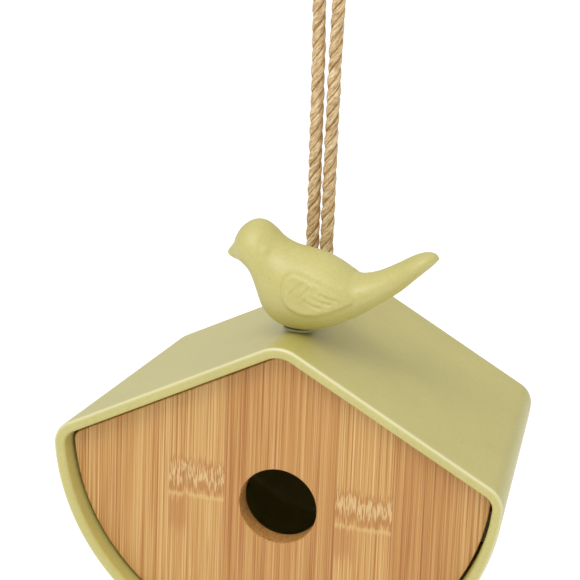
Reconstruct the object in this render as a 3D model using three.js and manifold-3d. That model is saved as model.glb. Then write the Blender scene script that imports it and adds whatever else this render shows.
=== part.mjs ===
// A hanging birdhouse: a ceramic shell with a bamboo front board, a ceramic bird
// on its ridge and a doubled rope to hang it by. Millimetres, +Z up, front to -Y.
import * as THREE from "three";
import * as BufferGeometryUtils from "three/addons/utils/BufferGeometryUtils.js";
import Module from "manifold-3d";

const manifold = await Module();
manifold.setup();

// ---- Driving dimensions ----
// The house is drawn about the centre of its entrance: x across, y back from the
// board's face, z up. It is then hung from the rope, whose loop is the origin.

const CLEARANCE = 0.3; // between pieces that touch

const WALL = 4.5;
const BACK_WALL = 3.2;
const BOWL_RADIUS = 88; // inside of the sides and bottom, at the board's face
const BOWL_CENTRE_Z = 23;
const ROOF_ANGLE = THREE.MathUtils.degToRad(28.6);
const RIDGE_Z = 67.2; // where the undersides of the roof slopes would meet
const RIDGE_RADIUS = 10; // inside
const EAVE_RADIUS = 6; // inside
const RIM_Y = -6.5;
const BACK_Y = 110;
const BACK_EDGE_RADIUS = 5;
const TAPER_LENGTH = 724; // the walls converge on a point this far behind the board's face
const TAPER_Z = 3;

const ENTRANCE_DIAMETER = 32;
const BOARD_THICKNESS = 9;
const BOARD_GAP = 1.3;
const BOARD_CHAMFER = 0.5;
const PAD = { length: 14, depth: 5 };
const SEAT_ANGLES = [-12, -58, -122, -168]; // round the bowl, in degrees
const LUG = { width: 10, depth: 6, height: 4 };

const DRAIN_DIAMETER = 6;
const DRAIN_SPACING = { x: 30, y: 36 };
const DRAIN_CENTRE_Y = 56;

const ROPE_DIAMETER = 5.7;
const ROPE_Y = 47.3; // where the rope leaves the ridge, over the centre of mass
const ROPE_HOLE_DIAMETER = 13;
const ROPE_RISE = 208; // from the ridge to the inside of the loop
const KNOT_RADIUS = 10;
const KNOT_GAP = 0.6; // lets the house nod on the knot

const BIRD_Y = 22;
const STUD_DIAMETER = 4;
const STUD_HOLE_DIAMETER = 4.8;
const STUD_DEPTH_IN_BIRD = 12;
const WASHER = { diameter: 13, thickness: 1.2 };
const INNER_WASHER = { diameter: 10, thickness: 1 };
const NUT = { width: 7, thickness: 3.2 };

// ---- Materials ----

const finish = (color, roughness, metalness = 0) =>
  new THREE.MeshStandardMaterial({ color, roughness, metalness });

const glaze = () => finish(0xc9c28a, 0.55);
const bamboo = () => finish(0xc99a60, 0.6);
const jute = () => finish(0xb08d5e, 0.95);
const steel = () => finish(0xb8b8b4, 0.35, 1);
const silicone = () => finish(0xd9d7c8, 0.5);
const padRubber = () => finish(0x3a3226, 0.8);

// ---- Solids ----

const parts = [];

function piece(name, geometry, material) {
  const mesh = new THREE.Mesh(geometry, material);
  mesh.name = name;
  parts.push(mesh);
  return mesh;
}

// Keeps only the corner positions, each shared by the triangles that meet there.
function welded(geometry) {
  const bare = geometry.clone();
  bare.deleteAttribute("normal");
  bare.deleteAttribute("uv");
  return BufferGeometryUtils.mergeVertices(bare, 1e-4);
}

function toSolid(geometry, matrix = new THREE.Matrix4()) {
  const bare = welded(geometry.clone().applyMatrix4(matrix));
  return new manifold.Manifold(
    new manifold.Mesh({
      numProp: 3,
      vertProperties: new Float32Array(bare.attributes.position.array),
      triVerts: new Uint32Array(bare.index.array),
    }),
  );
}

function toGeometry(solid) {
  const { vertProperties, triVerts } = solid.getMesh();
  const geometry = new THREE.BufferGeometry();
  geometry.setAttribute("position", new THREE.BufferAttribute(vertProperties, 3));
  geometry.setIndex(new THREE.BufferAttribute(triVerts, 1));
  geometry.computeVertexNormals();
  return geometry;
}

// An upright cylinder standing on z = bottom.
function post(diameter, bottom, top, x = 0, y = 0, sides = 32) {
  const geometry = new THREE.CylinderGeometry(diameter / 2, diameter / 2, top - bottom, sides);
  return geometry.rotateX(Math.PI / 2).translate(x, y, (top + bottom) / 2);
}

// A flat ring standing on z = bottom.
function ring(diameter, hole, bottom, thickness, sides = 32) {
  const [inner, outer] = [hole / 2, diameter / 2];
  const profile = [
    [inner, 0],
    [outer, 0],
    [outer, thickness],
    [inner, thickness],
    [inner, 0],
  ].map(([r, z]) => new THREE.Vector2(r, z));
  return new THREE.LatheGeometry(profile, sides).rotateX(Math.PI / 2).translate(0, 0, bottom);
}

// A closed skin over a row of rings with the same number of points, ended by two poles.
function loft(rings, firstPole, lastPole) {
  const count = rings[0].length;
  const points = [firstPole, ...rings.flat(), lastPole];
  const index = [];
  for (let i = 0; i < count; i++) {
    const next = (i + 1) % count;
    index.push(0, 1 + i, 1 + next);
    for (let r = 0; r < rings.length - 1; r++) {
      const here = 1 + r * count;
      const there = here + count;
      index.push(here + i, there + next, here + next, here + i, there + i, there + next);
    }
    const last = 1 + (rings.length - 1) * count;
    index.push(points.length - 1, last + next, last + i);
  }
  const geometry = new THREE.BufferGeometry().setFromPoints(points);
  geometry.setIndex(index);
  geometry.computeVertexNormals();
  return geometry;
}

// ---- The house's outline ----

// Arcs of the right half of the inside outline at the board's face, from the ridge
// down to the bottom. Straight roof slopes join the first two.
function outlineArcs() {
  const toRoof = Math.PI / 2 - ROOF_ANGLE;
  const normal = new THREE.Vector2(Math.cos(toRoof), Math.sin(toRoof));
  const downSlope = new THREE.Vector2(normal.y, -normal.x);
  const ridge = new THREE.Vector2(0, RIDGE_Z - RIDGE_RADIUS / Math.cos(ROOF_ANGLE));
  const bowl = new THREE.Vector2(0, BOWL_CENTRE_Z);
  const reach = (RIDGE_Z - BOWL_CENTRE_Z) * normal.y - EAVE_RADIUS;
  const along = Math.sqrt((BOWL_RADIUS - EAVE_RADIUS) ** 2 - reach ** 2);
  const eave = bowl.clone().addScaledVector(normal, reach).addScaledVector(downSlope, along);
  const toBowl = eave.clone().sub(bowl).angle() - 2 * Math.PI * (eave.y < bowl.y);
  return [
    { centre: ridge, radius: RIDGE_RADIUS, from: Math.PI / 2, to: toRoof, steps: 5 },
    { centre: eave, radius: EAVE_RADIUS, from: toRoof, to: toBowl, steps: 6 },
    { centre: bowl, radius: BOWL_RADIUS, from: toBowl, to: -Math.PI / 2, steps: 18 },
  ];
}

const ARCS = outlineArcs();

const taper = (y) => 1 - y / TAPER_LENGTH;
const taperedZ = (z, y) => TAPER_Z + (z - TAPER_Z) * taper(y);

// The closed outline at depth y, moved outwards by offset.
function outline(y, offset) {
  const right = ARCS.flatMap(({ centre, radius, from, to, steps }, arc) => {
    const first = arc === 2 ? 1 : 0;
    return Array.from({ length: steps + 1 - first }, (_, i) => {
      const angle = THREE.MathUtils.lerp(from, to, (i + first) / steps);
      return [
        centre.x + (radius + offset) * Math.cos(angle),
        centre.y + (radius + offset) * Math.sin(angle),
      ];
    });
  });
  const left = right.slice(1, -1).reverse().map(([x, z]) => [-x, z]);
  return [...right, ...left].map(
    ([x, z]) => new THREE.Vector3(x * taper(y), y, taperedZ(z, y)),
  );
}

const pole = (y) => new THREE.Vector3(0, y, taperedZ(BOWL_CENTRE_Z, y));

const ridgeTop = (y) => {
  const outside = RIDGE_Z - RIDGE_RADIUS / Math.cos(ROOF_ANGLE) + RIDGE_RADIUS + WALL;
  return taperedZ(outside, y);
};

// ---- Shell ----

// A quarter or half round of the shell's section: [depth, offset] from angle to angle.
function roundOver(depth, offset, radius, from, to, steps) {
  return Array.from({ length: steps + 1 }, (_, i) => {
    const angle = THREE.MathUtils.degToRad(THREE.MathUtils.lerp(from, to, i / steps));
    return [depth + radius * Math.cos(angle), offset + radius * Math.sin(angle)];
  });
}

function shellBody() {
  const floorY = BACK_Y - BACK_WALL;
  const section = [
    ...roundOver(BACK_Y - BACK_EDGE_RADIUS, WALL - BACK_EDGE_RADIUS, BACK_EDGE_RADIUS, 0, 90, 4),
    ...roundOver(RIM_Y + WALL / 2, WALL / 2, WALL / 2, 90, 270, 8),
    ...roundOver(floorY - WALL, -WALL, WALL, 90, 0, 3),
  ];
  const rings = section.map(([y, offset]) => outline(y, offset));
  return toSolid(loft(rings, pole(BACK_Y), pole(floorY)));
}

// Turns a piece drawn on the +x axis round the bowl's centre, at depth y.
function roundBowl(degrees, y) {
  const turn = new THREE.Matrix4().makeRotationY(-THREE.MathUtils.degToRad(degrees));
  return new THREE.Matrix4().makeTranslation(0, y, taperedZ(BOWL_CENTRE_Z, y)).multiply(turn);
}

// A lug on the bowl's wall that stops the board's back face.
function lug(degrees) {
  const y = BOARD_THICKNESS + CLEARANCE + LUG.depth / 2;
  const tall = LUG.height + WALL / 2;
  const box = new THREE.BoxGeometry(tall, LUG.depth, LUG.width);
  box.translate(BOWL_RADIUS * taper(y) - LUG.height + tall / 2, 0, 0);
  return toSolid(box, roundBowl(degrees, y));
}

function drains() {
  const bottom = BOWL_CENTRE_Z - BOWL_RADIUS - 2 * WALL;
  const top = bottom + 8 * WALL;
  const columns = [-DRAIN_SPACING.x / 2, DRAIN_SPACING.x / 2];
  const rows = [-DRAIN_SPACING.y / 2, DRAIN_SPACING.y / 2];
  return columns.flatMap((x) =>
    rows.map((y) => post(DRAIN_DIAMETER, bottom, top, x, DRAIN_CENTRE_Y + y, 24)),
  );
}

function shell() {
  const roofTop = ridgeTop(0) + WALL;
  const roofHole = (diameter, y) => post(diameter, roofTop - 6 * WALL, roofTop, 0, y);
  let solid = shellBody();
  for (const degrees of SEAT_ANGLES) solid = solid.add(lug(degrees));
  const holes = [
    roofHole(ROPE_HOLE_DIAMETER, ROPE_Y),
    roofHole(STUD_HOLE_DIAMETER, BIRD_Y),
    ...drains(),
  ];
  for (const hole of holes) solid = solid.subtract(toSolid(hole));
  return toGeometry(solid);
}

// ---- Front board ----

function frontBoard() {
  const edge = (y, inset) => outline(y, -BOARD_GAP - inset);
  const rings = [
    edge(BOARD_THICKNESS, BOARD_CHAMFER),
    edge(BOARD_THICKNESS - BOARD_CHAMFER, 0),
    edge(BOARD_CHAMFER, 0),
    edge(0, BOARD_CHAMFER),
  ];
  const board = toSolid(loft(rings, pole(BOARD_THICKNESS), pole(0)));
  const bore = new THREE.CylinderGeometry(
    ENTRANCE_DIAMETER / 2,
    ENTRANCE_DIAMETER / 2,
    3 * BOARD_THICKNESS,
    64,
  );
  return toGeometry(board.subtract(toSolid(bore)));
}

// A block with the outline's shape, from depth front to depth back.
function slab(front, back, offset) {
  return toSolid(loft([outline(back, offset), outline(front, offset)], pole(back), pole(front)));
}

// A thin strip on the board's edge that grips the shell's tapering wall.
function pad(degrees) {
  const front = BOARD_THICKNESS / 2 - PAD.depth / 2;
  const back = front + PAD.depth;
  const band = slab(front, back, -CLEARANCE).subtract(slab(front - 1, back + 1, CLEARANCE - BOARD_GAP));
  const block = new THREE.BoxGeometry(4 * WALL, 4 * PAD.depth, PAD.length);
  block.translate(BOWL_RADIUS, 0, 0);
  return toGeometry(band.intersect(toSolid(block, roundBowl(degrees, front))));
}

// ---- Bird ----

// The bird's side view and width at stations from its beak to its tail, measured
// from its foot on the ridge: x, underside, back, half width.
const BIRD_STATIONS = [
  [-29.6, 27.6, 28.6, 0.5],
  [-27, 26.4, 32.8, 3.4],
  [-24, 25, 38.6, 8],
  [-20.5, 21.6, 41.6, 11],
  [-17, 12.6, 42.6, 12.8],
  [-13, 6, 41.8, 14.2],
  [-8, 2.6, 38.4, 15.6],
  [-2, 1.6, 35.4, 16.6],
  [5, 1.6, 34.2, 16.8],
  [12, 3.4, 32.4, 15.8],
  [19, 6.8, 28.8, 13.4],
  [26, 11.4, 26.8, 10.4],
  [33, 16.8, 29, 8],
  [40, 23, 33, 7],
  [47, 29.6, 37.8, 6.6],
  [52.5, 34.8, 39.2, 5],
  [55, 37.4, 38.2, 1],
];

function birdBody() {
  const sides = 18;
  const rings = BIRD_STATIONS.map(([x, low, high, halfWidth]) =>
    Array.from({ length: sides }, (_, i) => {
      const angle = (-2 * Math.PI * i) / sides;
      const z = (low + high) / 2 + ((high - low) / 2) * Math.sin(angle);
      return new THREE.Vector3(x, halfWidth * Math.cos(angle), z);
    }),
  );
  const end = (station) => {
    const [x, low, high] = station;
    return new THREE.Vector3(x, 0, (low + high) / 2);
  };
  return toSolid(loft(rings, end(BIRD_STATIONS[0]), end(BIRD_STATIONS.at(-1))));
}

function bird() {
  const foot = WASHER.thickness + 2 * CLEARANCE;
  const socketTop = foot + STUD_DEPTH_IN_BIRD;
  const below = post(4 * WASHER.diameter, -20, foot);
  const socket = post(STUD_DIAMETER + 2 * CLEARANCE, -20, socketTop + CLEARANCE, 0, 0, 20);
  return toGeometry(birdBody().subtract(toSolid(below)).subtract(toSolid(socket)));
}

// The bird and its fixing, on the ridge's slope. z = 0 is the top of the ridge.
function birdAssembly() {
  const group = new THREE.Group();
  const foot = WASHER.thickness + 2 * CLEARANCE;
  const wall = WALL * taper(BIRD_Y);
  const arcSag = RIDGE_RADIUS - Math.sqrt(RIDGE_RADIUS ** 2 - (INNER_WASHER.diameter / 2) ** 2);
  const innerTop = -wall - arcSag - CLEARANCE;
  const nutTop = innerTop - INNER_WASHER.thickness - CLEARANCE;
  const studBottom = nutTop - NUT.thickness - STUD_DIAMETER / 2;
  const hole = STUD_DIAMETER + 2 * CLEARANCE;
  const hexagon = 2 * (NUT.width / Math.sqrt(3));
  const nut = toSolid(post(hexagon, nutTop - NUT.thickness, nutTop, 0, 0, 6)).subtract(
    toSolid(post(hole, nutTop - 2 * NUT.thickness, nutTop + NUT.thickness, 0, 0, 20)),
  );
  group.add(
    piece("bird", bird(), glaze()),
    piece("bird_washer", ring(WASHER.diameter, hole, CLEARANCE, WASHER.thickness), silicone()),
    piece("bird_stud", post(STUD_DIAMETER, studBottom, foot + STUD_DEPTH_IN_BIRD, 0, 0, 20), steel()),
    piece(
      "bird_inner_washer",
      ring(INNER_WASHER.diameter, hole, innerTop - INNER_WASHER.thickness, INNER_WASHER.thickness, 24),
      steel(),
    ),
    piece("bird_nut", toGeometry(nut), steel()),
  );
  group.position.set(0, BIRD_Y, ridgeTop(BIRD_Y));
  group.rotation.x = -Math.atan((ridgeTop(0) - TAPER_Z) / TAPER_LENGTH);
  return group;
}

// ---- Rope ----
// Drawn about its own hanging point: z = 0 is where a hook would bear.

const KNOT_Z = (() => {
  const slopesMeet = taperedZ(RIDGE_Z, ROPE_Y) - ridgeTop(ROPE_Y) - ROPE_RISE;
  return slopesMeet - (KNOT_RADIUS + KNOT_GAP) / Math.cos(ROOF_ANGLE);
})();

// The centre line of half the rope, from the knot up to the middle of the loop.
const ROPE_SIDE = [
  [3, KNOT_Z + KNOT_RADIUS + CLEARANCE],
  [3, -ROPE_RISE + 10],
  [2.95, -180],
  [3.05, -150],
  [3.25, -120],
  [3.55, -95],
  [4.1, -75],
  [5.6, -56],
  [8.2, -38],
  [11, -22],
  [12.1, -10],
  [10.6, -3],
  [6.2, 1.7],
];

function rope() {
  const top = [0, ROPE_DIAMETER / 2];
  const other = ROPE_SIDE.toReversed().map(([x, z]) => [-x, z]);
  const points = [...ROPE_SIDE, top, ...other].map(([x, z]) => new THREE.Vector3(x, 0, z));
  const path = new THREE.CatmullRomCurve3(points, false, "centripetal");
  const section = new THREE.Shape().absarc(0, 0, ROPE_DIAMETER / 2, 0, 2 * Math.PI);
  return new THREE.ExtrudeGeometry(section, { extrudePath: path, steps: 60, curveSegments: 5 });
}

function knot() {
  return new THREE.SphereGeometry(KNOT_RADIUS, 24, 16).rotateX(Math.PI / 2).translate(0, 0, KNOT_Z);
}

// ---- Assembly ----

const house = new THREE.Group();
house.add(
  piece("shell", shell(), glaze()),
  piece("front_panel", frontBoard(), bamboo()),
  ...SEAT_ANGLES.map((degrees, i) => piece(`panel_pad_${i + 1}`, pad(degrees), padRubber())),
  birdAssembly(),
);
house.position.set(0, -ROPE_Y, -ROPE_RISE - ridgeTop(ROPE_Y));

const birdhouse = new THREE.Group();
birdhouse.add(house, piece("rope", rope(), jute()), piece("rope_knot", knot(), jute()));

export default birdhouse;
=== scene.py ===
"""A hanging birdhouse: a glazed ceramic shell with a bamboo front board, a ceramic
bird on its ridge and a doubled jute rope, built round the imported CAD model."""
import math

import bmesh
import bpy
import numpy as np
from mathutils import Matrix, Vector


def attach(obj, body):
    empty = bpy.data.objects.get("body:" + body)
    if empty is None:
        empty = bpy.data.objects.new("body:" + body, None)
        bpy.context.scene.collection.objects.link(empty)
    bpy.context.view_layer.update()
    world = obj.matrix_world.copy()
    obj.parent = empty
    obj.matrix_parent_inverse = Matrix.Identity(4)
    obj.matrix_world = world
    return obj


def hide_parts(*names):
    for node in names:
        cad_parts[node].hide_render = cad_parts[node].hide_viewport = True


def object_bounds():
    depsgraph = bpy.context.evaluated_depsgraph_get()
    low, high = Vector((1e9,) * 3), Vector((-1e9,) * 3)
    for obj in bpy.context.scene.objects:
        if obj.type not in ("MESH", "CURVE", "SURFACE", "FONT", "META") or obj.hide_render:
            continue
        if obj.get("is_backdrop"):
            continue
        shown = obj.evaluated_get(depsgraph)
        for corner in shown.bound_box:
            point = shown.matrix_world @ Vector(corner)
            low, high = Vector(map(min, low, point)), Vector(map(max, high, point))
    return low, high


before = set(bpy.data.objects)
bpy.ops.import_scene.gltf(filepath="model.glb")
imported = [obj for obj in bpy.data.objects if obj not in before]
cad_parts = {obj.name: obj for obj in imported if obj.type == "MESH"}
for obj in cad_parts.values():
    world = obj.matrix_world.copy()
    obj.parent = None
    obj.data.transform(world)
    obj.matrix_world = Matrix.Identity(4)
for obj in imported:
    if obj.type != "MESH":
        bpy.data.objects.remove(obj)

cad_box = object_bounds()

MM = 0.001
Y_AXIS, Z_AXIS = np.eye(3)[1:]

# ---- Driving dimensions, in millimetres, as the CAD model has them ----
# The house is drawn about the centre of its entrance: x across, y back from the
# board's face, z up. It hangs from the rope, whose loop is the row's origin.

CLEARANCE = 0.3
WALL = 4.5
BACK_WALL = 3.2
BOWL_RADIUS = 88
BOWL_CENTRE_Z = 23
ROOF_ANGLE = math.radians(28.6)
RIDGE_Z = 67.2
RIDGE_RADIUS = 10
EAVE_RADIUS = 6
RIM_Y = -6.5
RIM_RADIUS = 1.5
# The rim's outer round is painted paler as a highlight. It is strongest at this angle and fades over
# the spread.
RIM_HIGHLIGHT_ANGLE = 50  # of the rim's outer round, in degrees from its front
RIM_HIGHLIGHT_SPREAD = 30
BACK_Y = 110
BACK_EDGE_RADIUS = 5
TAPER_LENGTH = 724
TAPER_Z = 3

ENTRANCE_RADIUS = 16
BOARD_THICKNESS = 9
BOARD_GAP = 1.3
BOARD_EDGE_RADIUS = 0.6
SEAT_ANGLES = [-12, -58, -122, -168]
LUG = {"width": 10, "depth": 6, "height": 4}

DRAIN_RADIUS = 3
DRAIN_SPACING = {"x": 30, "y": 36}
DRAIN_CENTRE_Y = 56

ROPE_DIAMETER = 5.7
ROPE_Y = 47.3
ROPE_HOLE_RADIUS = 6.5
ROPE_RISE = 208
ROPE_PITCH = 18.6  # one turn of the three strands
STRAND_RADIUS = 1.86
STRAND_CREST = 2.72  # from the rope's middle; loose fibres fill the rest
STRAND_OFFSET = STRAND_CREST - STRAND_RADIUS
GROOVE_RADIUS = STRAND_OFFSET / 2 + math.sqrt(STRAND_RADIUS**2 - 0.75 * STRAND_OFFSET**2)
KNOT_RADIUS = 10
KNOT_GAP = 0.6

BIRD_Y = 22
STUD_RADIUS = 2
STUD_HOLE_RADIUS = 2.4
STUD_DEPTH_IN_BIRD = 12
WASHER = {"radius": 6.5, "thickness": 1.2}
BIRD_FOOT_Z = WASHER["thickness"] + 2 * CLEARANCE
INNER_WASHER_RADIUS = 5
INNER_WASHER_THICKNESS = 1
NUT_THICKNESS = 3.2


# ---- Curves and meshes ----


def spline(points, count):
    """count places, evenly spaced along a smooth curve through points."""
    points = np.asarray(points, float)
    steps = np.sqrt(np.linalg.norm(np.diff(points, axis=0), axis=1))
    slopes = np.diff(points, axis=0) / steps[:, None]
    across = (points[2:] - points[:-2]) / (steps[:-1] + steps[1:])[:, None]
    tangents = np.vstack([slopes[:1], slopes[:-1] - across + slopes[1:], slopes[-1:]])
    t = np.linspace(0, 1, 60, endpoint=False)[:, None]
    dense = []
    for i, step in enumerate(steps):
        a, b = points[i], points[i + 1]
        m, n = tangents[i] * step, tangents[i + 1] * step
        curve = a + t * m + t**2 * (3 * (b - a) - 2 * m - n) + t**3 * (2 * (a - b) + m + n)
        dense.append(curve)
    dense = np.vstack([*dense, points[-1:]])
    along = np.concatenate([[0], np.cumsum(np.linalg.norm(np.diff(dense, axis=0), axis=1))])
    even = np.linspace(0, along[-1], count)
    return np.stack([np.interp(even, along, column) for column in dense.T], axis=1)


def smoothed(rows, passes):
    """The rows of a table, each drawn towards its neighbours, with the ends kept."""
    rows = np.array(rows, float)
    for _ in range(passes):
        rows[1:-1] = (rows[:-2] + 2 * rows[1:-1] + rows[2:]) / 4
    return rows


def smoothstep(low, high, value):
    t = np.clip((value - low) / (high - low), 0, 1)
    return t * t * (3 - 2 * t)


def ripple(seed, count, every):
    """count numbers from about -1 to 1 that wander with a bend every few places."""
    random = np.random.default_rng(seed)
    knots = random.uniform(-1, 1, count // every + 4)
    places = np.arange(count) / every
    before = places.astype(int)
    t = smoothstep(0, 1, places - before)
    return knots[before] * (1 - t) + knots[before + 1] * t


def make_mesh(name, points, faces, sharp_angle=None):
    """An object from points in millimetres, shaded smooth except at sharp edges."""
    mesh = bpy.data.meshes.new(name)
    mesh.from_pydata((np.asarray(points) * MM).tolist(), [], faces)
    work = bmesh.new()
    work.from_mesh(mesh)
    bmesh.ops.recalc_face_normals(work, faces=work.faces)
    work.to_mesh(mesh)
    work.free()
    return make_object(name, mesh, sharp_angle)


def make_object(name, mesh, sharp_angle=None):
    mesh.shade_smooth()
    if sharp_angle:
        mesh.set_sharp_from_angle(angle=math.radians(sharp_angle))
    piece = bpy.data.objects.new(name, mesh)
    bpy.context.scene.collection.objects.link(piece)
    return piece


def skin(rings, poles=None, looped=False, first=0):
    """Points and faces over rings of equally many points. The two poles close its ends,
    or looped joins the last ring to the first."""
    rings = np.asarray(rings, float)
    rows, columns = rings.shape[:2]
    points = rings.reshape(-1, 3)
    index = first + np.arange(rows * columns).reshape(rows, columns)
    after = np.roll(index, -1, axis=1)
    below = np.roll(index, -1, axis=0)
    below_after = np.roll(after, -1, axis=0)
    quads = np.stack([index, below, below_after, after], axis=-1)
    faces = (quads if looped else quads[:-1]).reshape(-1, 4).tolist()
    if poles is not None:
        points = np.vstack([points, poles])
        start, end = len(points) - 2 + first, len(points) - 1 + first
        faces += [[start, a, b] for a, b in zip(index[0], after[0])]
        faces += [[end, b, a] for a, b in zip(index[-1], after[-1])]
    return points, faces


def lathe(profile, sides):
    """Rings about the z axis from a profile of (radius, z)."""
    angle = np.linspace(0, 2 * math.pi, sides, endpoint=False)
    circle = np.stack([np.cos(angle), np.sin(angle), 0 * angle], axis=1)
    return np.array([circle * radius + Z_AXIS * z for radius, z in profile])


def rounded(corners, radius, steps=5):
    """A closed section's corners, each replaced by an arc-like bend."""
    corners = [np.array(corner, float) for corner in corners]
    bends = []
    for i, corner in enumerate(corners):
        before, after = corners[i - 1], corners[(i + 1) % len(corners)]
        start = corner + (before - corner) / np.linalg.norm(before - corner) * radius
        end = corner + (after - corner) / np.linalg.norm(after - corner) * radius
        for t in np.linspace(0, 1, steps):
            bends.append((1 - t) ** 2 * start + 2 * t * (1 - t) * corner + t**2 * end)
    return bends


# ---- Where things are ----


def taper(y):
    return 1 - np.asarray(y, float) / TAPER_LENGTH


def tapered_z(z, y):
    return TAPER_Z + (z - TAPER_Z) * taper(y)


def ridge_top(y):
    outside = RIDGE_Z - RIDGE_RADIUS / math.cos(ROOF_ANGLE) + RIDGE_RADIUS + WALL
    return tapered_z(outside, y)


HOUSE_PLACE = np.array([0, -ROPE_Y, -ROPE_RISE - ridge_top(ROPE_Y)])
RIDGE_SLOPE = math.atan((ridge_top(0) - TAPER_Z) / TAPER_LENGTH)


def on_house(points):
    """Points drawn about the entrance, in the row frame."""
    return np.asarray(points) + HOUSE_PLACE


def on_ridge(points):
    """Points drawn about the bird's foot, in the row frame."""
    turn = np.array(Matrix.Rotation(-RIDGE_SLOPE, 3, "X"))
    foot = np.array([0, BIRD_Y, ridge_top(BIRD_Y)])
    return on_house(np.asarray(points) @ turn.T + foot)


# ---- Camera ----


def aim_camera():
    """A long lens to the right of the house and above it, turned a little on its axis."""
    azimuth, elevation, roll = (math.radians(a) for a in (15.95, 21.8, 2.07))
    distance, aside, above = 1.3168, 0.0018, 0.0866
    level = Vector((math.cos(azimuth), math.sin(azimuth), 0))
    backward = Vector(
        (
            math.sin(azimuth) * math.cos(elevation),
            -math.cos(azimuth) * math.cos(elevation),
            math.sin(elevation),
        )
    )
    upright = backward.cross(level)
    right = level * math.cos(roll) + upright * math.sin(roll)
    up = upright * math.cos(roll) - level * math.sin(roll)
    entrance = Vector(HOUSE_PLACE * MM)
    data = bpy.data.cameras.new("camera")
    data.lens = 204.85
    data.sensor_width = 36
    camera = bpy.data.objects.new("camera", data)
    bpy.context.scene.collection.objects.link(camera)
    camera.matrix_world = Matrix((right, up, backward)).transposed().to_4x4()
    camera.location = entrance + backward * distance + level * aside + upright * above
    bpy.context.scene.camera = camera


aim_camera()


# ---- Materials ----


class Surface:
    """A material with a Principled shader, and short ways of adding nodes to it."""

    def __init__(self, name, **values):
        self.material = bpy.data.materials.new(name)
        self.material.use_nodes = True
        self.tree = self.material.node_tree
        self.shader = self.tree.nodes["Principled BSDF"]
        for socket, value in values.items():
            self.shader.inputs[socket.replace("_", " ")].default_value = value

    def fill(self, socket, value):
        if isinstance(value, bpy.types.NodeSocket):
            self.tree.links.new(value, socket)
        elif value is not None:
            socket.default_value = value

    def node(self, kind, inputs=(), **settings):
        node = self.tree.nodes.new(kind)
        for setting, value in settings.items():
            setattr(node, setting, value)
        pairs = inputs.items() if isinstance(inputs, dict) else enumerate(inputs)
        for key, value in pairs:
            self.fill(node.inputs[key], value)
        return node

    def place(self):
        return self.node("ShaderNodeTexCoord").outputs["Object"]

    def attribute(self, name):
        return self.node("ShaderNodeAttribute", attribute_name=name).outputs["Vector"]

    def stretched(self, vector, scale):
        """The vector times a scale for each axis."""
        node = self.node("ShaderNodeVectorMath", [vector, scale], operation="MULTIPLY")
        return node.outputs[0]

    def parts(self, vector):
        return self.node("ShaderNodeSeparateXYZ", [vector]).outputs

    def joined(self, x, y, z):
        return self.node("ShaderNodeCombineXYZ", [x, y, z]).outputs[0]

    def math(self, operation, *values):
        return self.node("ShaderNodeMath", values, operation=operation).outputs[0]

    def noise(self, vector, scale=1.0, detail=2.0, roughness=0.5, w=None):
        inputs = {"Vector": vector, "Scale": scale, "Detail": detail, "Roughness": roughness}
        if w is not None:
            inputs["W"] = w
        dimensions = "3D" if w is None else "4D"
        return self.node("ShaderNodeTexNoise", inputs, noise_dimensions=dimensions).outputs["Fac"]

    def between(self, value, low, high, to_low=0.0, to_high=1.0):
        """value taken from low..high to to_low..to_high, with soft ends."""
        node = self.node("ShaderNodeMapRange", interpolation_type="SMOOTHSTEP")
        for socket, number in zip(node.inputs, (value, low, high, to_low, to_high)):
            self.fill(socket, number)
        return node.outputs[0]

    def mix(self, factor, a, b, blend="MIX"):
        node = self.node("ShaderNodeMix", data_type="RGBA", blend_type=blend)
        colours = [s for s in node.inputs if s.type == "RGBA"]
        self.fill(node.inputs["Factor"], factor)
        for socket, value in zip(colours, (a, b)):
            self.fill(socket, (*value, 1) if isinstance(value, tuple) else value)
        return next(s for s in node.outputs if s.type == "RGBA")

    def ramp(self, factor, stops, interpolation="LINEAR"):
        node = self.node("ShaderNodeValToRGB", [factor])
        ramp = node.color_ramp
        ramp.interpolation = interpolation
        while len(ramp.elements) < len(stops):
            ramp.elements.new(0.5)
        for element, (position, colour) in zip(ramp.elements, stops):
            element.position = position
            element.color = (*colour, 1)
        return node.outputs["Color"]

    def colour(self, socket):
        self.tree.links.new(socket, self.shader.inputs["Base Color"])

    def roughness(self, socket):
        self.tree.links.new(socket, self.shader.inputs["Roughness"])

    def bump(self, height, distance, strength=1.0, under=None):
        """Height is from 0 to 1, and distance how far 1 stands out, in metres."""
        inputs = {"Height": height, "Distance": distance, "Strength": strength}
        if under is not None:
            inputs["Normal"] = under
        normal = self.node("ShaderNodeBump", inputs).outputs[0]
        for link in list(self.shader.inputs["Normal"].links):
            self.tree.links.remove(link)
        self.tree.links.new(normal, self.shader.inputs["Normal"])
        return normal


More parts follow.
